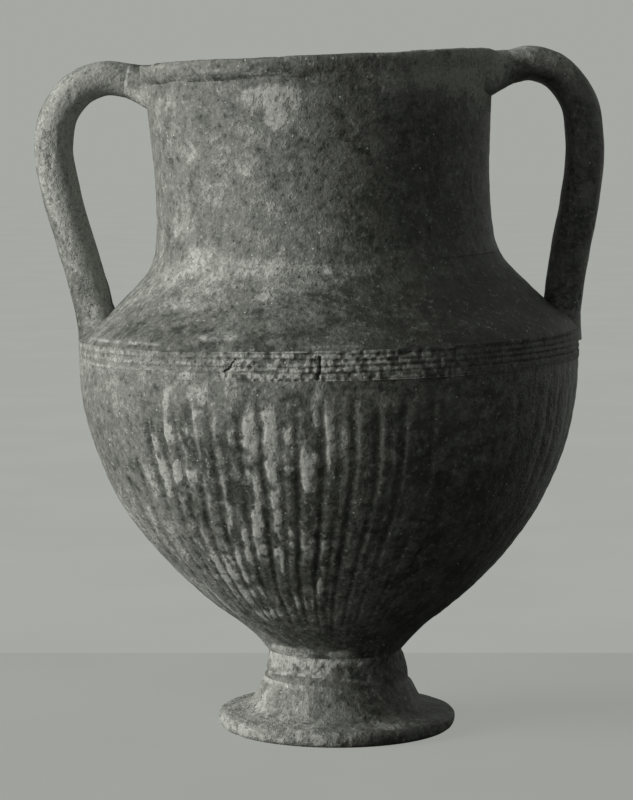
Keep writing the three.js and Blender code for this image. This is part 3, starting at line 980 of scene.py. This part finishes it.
def blend(tree, factor, first, second):
    # the first colour where the factor is 0 and the second where it is 1
    node = addNode(tree, "ShaderNodeMix", data_type="RGBA")
    tree.links.new(factor, node.inputs[0])
    for socket, value in ((node.inputs[6], first), (node.inputs[7], second)):
        if isinstance(value, tuple):
            socket.default_value = value + (1.0,)
        else:
            tree.links.new(value, socket)
    return node.outputs[2]


def attribute(tree, name):
    # a value that the mesh carries at each of its points
    return addNode(tree, "ShaderNodeAttribute", attribute_name=name).outputs["Fac"]


def dots(tree, place, scale, low, high, share):
    # round dots in some of the cells of a random mosaic: near a cell's middle, where its number is high
    node = addNode(tree, "ShaderNodeTexVoronoi")
    setInput(node, "Scale", scale)
    tree.links.new(place, node.inputs["Vector"])
    parts = addNode(tree, "ShaderNodeSeparateColor")
    tree.links.new(node.outputs["Color"], parts.inputs[0])
    chosen = maths(tree, "GREATER_THAN", parts.outputs[0], 1.0 - share)
    return maths(tree, "MULTIPLY", ranged(tree, node.outputs["Distance"], low, high, 1.0, 0.0), chosen)


def makeClay(name, gloss, bumpStrength):
    # dark clay, a worn tone and a thin film that both come and go with the grain, soot where the lime
    # attribute is below 0 and crusts of lime where it is high, pale specks and dark pits;
    # the lime attribute also carries the painted light and painted shade of some pieces, which come out as
    # film, crust and soot
    material = bpy.data.materials.new(name)
    material.use_nodes = True
    tree = material.node_tree
    shader = tree.nodes["Principled BSDF"]
    place = addNode(tree, "ShaderNodeTexCoord").outputs["Object"]
    scales, layers = clay["scales"], clay["layers"]
    cloud = noiseAt(tree, place, scales["cloud"], 2.0)
    mottle = noiseAt(tree, place, scales["mottle"], 5.0, 0.66)
    fleck = noiseAt(tree, place, scales["fleck"], 3.0, 0.7)
    grain = noiseAt(tree, place, scales["grain"], 2.0, 0.7)
    limeAndPaintedLight, wearValue = attribute(tree, "lime"), attribute(tree, "wear")
    tone = mixed(tree, [(cloud, 0.3), (mottle, 0.5), (fleck, 0.2)])
    ground = blend(tree, ranged(tree, tone, 0.40, 0.60), clay["bare"], clay["worn"])
    patchy = mixed(tree, [(cloud, -0.25), (mottle, 0.95), (fleck, 0.6), (limeAndPaintedLight, 1.0)])
    sootAndPaintedShade = maths(tree, "MULTIPLY", ranged(tree, patchy, *layers["sootAndPaintedShade"]), 0.5)
    film = ranged(tree, patchy, *layers["film"])
    veil = ranged(tree, patchy, *layers["veil"])
    crust = ranged(tree, mixed(tree, [(patchy, 1.0), (fleck, 0.5)]), *layers["crust"])
    coated = blend(tree, film, blend(tree, sootAndPaintedShade, ground, clay["soilAndShade"]), clay["film"])
    rubbed = blend(tree, maths(tree, "MULTIPLY", wearValue, 0.22), coated, clay["film"])
    veiled = blend(tree, maths(tree, "MULTIPLY", veil, 0.28), rubbed, clay["lime"])
    solid = ranged(tree, fleck, 0.38, 0.58, 0.4, 0.85)
    limed = blend(tree, maths(tree, "MULTIPLY", crust, solid), veiled, clay["lime"])
    specks = maths(tree, "MULTIPLY", dots(tree, place, *clay["specks"]), 0.9)
    pale = maths(tree, "MULTIPLY", ranged(tree, fleck, 0.60, 0.68), 0.4)
    flecked = blend(tree, specks, blend(tree, pale, limed, clay["lime"]), clay["speck"])
    pits = dots(tree, place, *clay["pits"])
    dark = maths(tree, "MAXIMUM", maths(tree, "MULTIPLY", ranged(tree, fleck, 0.40, 0.31), 0.5), pits)
    pitted = blend(tree, maths(tree, "MULTIPLY", dark, 0.8), flecked, clay["soilAndShade"])
    grainy = addNode(tree, "ShaderNodeVectorMath", operation="SCALE")
    tree.links.new(pitted, grainy.inputs[0])
    tree.links.new(ranged(tree, grain, 0.36, 0.64, 0.85, 1.15), grainy.inputs["Scale"])
    tree.links.new(grainy.outputs[0], shader.inputs["Base Color"])
    dull = ranged(tree, maths(tree, "ADD", film, crust), 0.0, 1.4, gloss, 0.95)
    tree.links.new(dull, shader.inputs["Roughness"])
    setInput(shader, "Specular IOR Level", 0.35)
    height = mixed(tree, [(mottle, 1.4), (fleck, 0.6), (grain, 0.2), (veil, 0.15), (crust, 0.25),
                          (dark, -0.4)])
    bump = addNode(tree, "ShaderNodeBump")
    setInput(bump, "Strength", bumpStrength)
    setInput(bump, "Distance", clay["bump"])
    tree.links.new(height, bump.inputs["Height"])
    tree.links.new(bump.outputs["Normal"], shader.inputs["Normal"])
    return material


finishes = {
    "dark_clay": makeClay("darkClay", 0.6, 0.7),
    "worn_clay": makeClay("wornClay", 0.66, 0.75),
    "limed_clay": makeClay("limedClay", 0.75, 0.9),
}
print("clay mixed:", len(finishes), "finishes")

slots = {row["node"]: row["material_slot"] for row in frame["record"]["subparts"]}


def finish(node, maker, *values):
    # hands a finished piece to the frame in place of its plain solid
    piece = maker(*values)
    piece.name = node + "_clay"
    piece.data.materials.append(finishes[slots[node]])
    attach(piece, "root")
    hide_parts(node)
    print(node, "made:", sum(len(face.vertices) - 2 for face in piece.data.polygons), "triangles")


finish("foot", makeFoot)
finish("stem_collar", makeCollar)
finish("belly", makeBowl)
finish("grooved_band", makeBand)
finish("shoulder", makeShoulder)
finish("neck", makeNeck)
finish("lip", makeLip)
for side in ("left", "right"):
    finish(side + "_handle", makeHandle, side)
    finish(side + "_upper_wad", makeWad, side, "upper")
    finish(side + "_lower_wad", makeWad, side, "lower")

# Table, backdrop and light

studio = {
    "board": (0.378, 0.392, 0.364),
    "boardGlow": 0.80,
    "boardShade": 0.30,
    # half the board's width, and how far it runs to the front and the back of the jar, in metres
    "boardHalf": 2.5,
    "boardFront": -3.0,
    "boardBack": 0.183,
    # the papers' faint clouds: cells for each metre and tone
    "cloudScale": 7.0,
    "cloudTone": 0.97,
    "backdrop": (0.382, 0.397, 0.370),
    "groundHalf": 12.0,
    "groundLevel": -0.002,
    "groundShade": (0.02, 0.02, 0.02),
    "roomColour": (0.97, 1.0, 0.95),
    "fill": 0.15,
    "lampColour": (1.0, 1.0, 0.975),
    "lampDistance": 2.6,
    "lampSize": 1.5,
    "lampAim": 0.16,
    # a key light on the left, and a pale wall far behind on the right, which lights the right edges:
    # angle from the front and rise in degrees, and power in watts
    "lamps": {"key": (-73.0, 11.0, 90.0), "far_wall": (128.0, 8.0, 3.5)},
}


def flatSheet(name, low, high, level):
    # one oblong face of the set, from its low corner to its high one
    mesh = bpy.data.meshes.new(name)
    sides = [(low[0], low[1]), (high[0], low[1]), (high[0], high[1]), (low[0], high[1])]
    corners = [(x, y, level) for x, y in sides]
    mesh.from_pydata(corners, [], [(0, 1, 2, 3)])
    sheet = bpy.data.objects.new(name, mesh)
    bpy.context.scene.collection.objects.link(sheet)
    return sheet


def seenBy(tree, *kinds):
    # 1 for the kinds of light ray that are named
    path = addNode(tree, "ShaderNodeLightPath")
    total = path.outputs[kinds[0]]
    for kind in kinds[1:]:
        total = maths(tree, "MAXIMUM", total, path.outputs[kind])
    return total


def paper(name, glow, shade, rays):
    # glows with its own tone for the rays that are given, adds what light falls on it, and is dull for
    # all other rays
    material = bpy.data.materials.new(name)
    material.use_nodes = True
    tree = material.node_tree
    dull = tree.nodes["Principled BSDF"]
    setInput(dull, "Base Color", shade + (1.0,))
    setInput(dull, "Roughness", 1.0)
    setInput(dull, "Specular IOR Level", 0.0)
    light = addNode(tree, "ShaderNodeEmission")
    place = addNode(tree, "ShaderNodeTexCoord").outputs["Object"]
    cloud = ranged(tree, noiseAt(tree, place, studio["cloudScale"], 2.0), 0.3, 0.7)
    darker = tuple(studio["cloudTone"] * part for part in glow)
    tree.links.new(blend(tree, cloud, darker, glow), light.inputs["Color"])
    both = addNode(tree, "ShaderNodeAddShader")
    mix = addNode(tree, "ShaderNodeMixShader")
    tree.links.new(light.outputs[0], both.inputs[0])
    tree.links.new(dull.outputs[0], both.inputs[1])
    tree.links.new(seenBy(tree, *rays), mix.inputs[0])
    tree.links.new(dull.outputs[0], mix.inputs[1])
    tree.links.new(both.outputs[0], mix.inputs[2])
    tree.links.new(mix.outputs[0], tree.nodes["Material Output"].inputs["Surface"])
    return material


def makeBoard():
    # the table top, whose straight back edge shows behind the jar
    glow = tuple(studio["boardGlow"] * part for part in studio["board"])
    shade = tuple(studio["boardShade"] * part for part in studio["board"])
    half = studio["boardHalf"]
    board = flatSheet("board", (-half, studio["boardFront"]), (half, studio["boardBack"]), 0.0)
    board.data.materials.append(paper("boardPaper", glow, shade, ["Is Camera Ray"]))


def makeBackdrop():
    # the ground behind the board has the backdrop's tone and stays dark for the light
    half = studio["groundHalf"]
    sheet = flatSheet("backdrop_ground", (-half, -half), (half, half), studio["groundLevel"])
    rays = ["Is Camera Ray", "Is Glossy Ray"]
    sheet.data.materials.append(paper("backdropPaper", studio["backdrop"], studio["groundShade"], rays))


def makeWorld():
    # a dim room, and the backdrop's tone where the camera looks
    world = bpy.data.worlds.new("room")
    bpy.context.scene.world = world
    world.use_nodes = True
    tree = world.node_tree
    tree.nodes.clear()
    room = addNode(tree, "ShaderNodeBackground")
    setInput(room, "Color", studio["roomColour"] + (1.0,))
    setInput(room, "Strength", studio["fill"])
    seen = addNode(tree, "ShaderNodeBackground")
    setInput(seen, "Color", studio["backdrop"] + (1.0,))
    mix = addNode(tree, "ShaderNodeMixShader")
    out = addNode(tree, "ShaderNodeOutputWorld")
    tree.links.new(seenBy(tree, "Is Camera Ray", "Is Glossy Ray"), mix.inputs[0])
    tree.links.new(room.outputs[0], mix.inputs[1])
    tree.links.new(seen.outputs[0], mix.inputs[2])
    tree.links.new(mix.outputs[0], out.inputs["Surface"])


def makeLight(name, angle, rise, power):
    # a broad soft light that looks at the jar's middle from the given angle and height
    turnBy, lift = math.radians(angle), math.radians(rise)
    away = studio["lampDistance"]
    lamp = bpy.data.lights.new(name, "AREA")
    lamp.shape = "SQUARE"
    lamp.size = studio["lampSize"]
    lamp.energy = power
    lamp.color = studio["lampColour"]
    light = bpy.data.objects.new(name, lamp)
    x = away * math.cos(lift) * math.sin(turnBy)
    y = -away * math.cos(lift) * math.cos(turnBy)
    light.location = (x, y, studio["lampAim"] + away * math.sin(lift))
    light.rotation_euler = (math.pi / 2 - lift, 0.0, turnBy)
    bpy.context.scene.collection.objects.link(light)


view = {
    # the camera's place in metres, its lens and picture in pixels, and how far it looks down
    "x": -0.0015,
    "distance": 1.357,
    "height": 0.2904,
    "focalPixels": 2850.0,
    "imageWidth": 633.0,
    "down": math.radians(5.611),
    "sensorWidth": 36.0,
}


def makeCamera():
    # the photograph's own place: a long lens a little above the shoulder, looking slightly down
    data = bpy.data.cameras.new("view")
    data.sensor_fit = "HORIZONTAL"
    data.sensor_width = view["sensorWidth"]
    data.lens = view["focalPixels"] / view["imageWidth"] * data.sensor_width
    camera = bpy.data.objects.new("view", data)
    camera.location = (view["x"], -view["distance"], view["height"])
    camera.rotation_euler = (math.pi / 2 - view["down"], 0.0, 0.0)
    bpy.context.scene.collection.objects.link(camera)
    bpy.context.scene.camera = camera


makeBoard()
makeBackdrop()
makeWorld()
for name, lamp in studio["lamps"].items():
    makeLight(name, *lamp)
makeCamera()
bpy.context.scene.view_settings.view_transform = "Standard"
print("studio set")
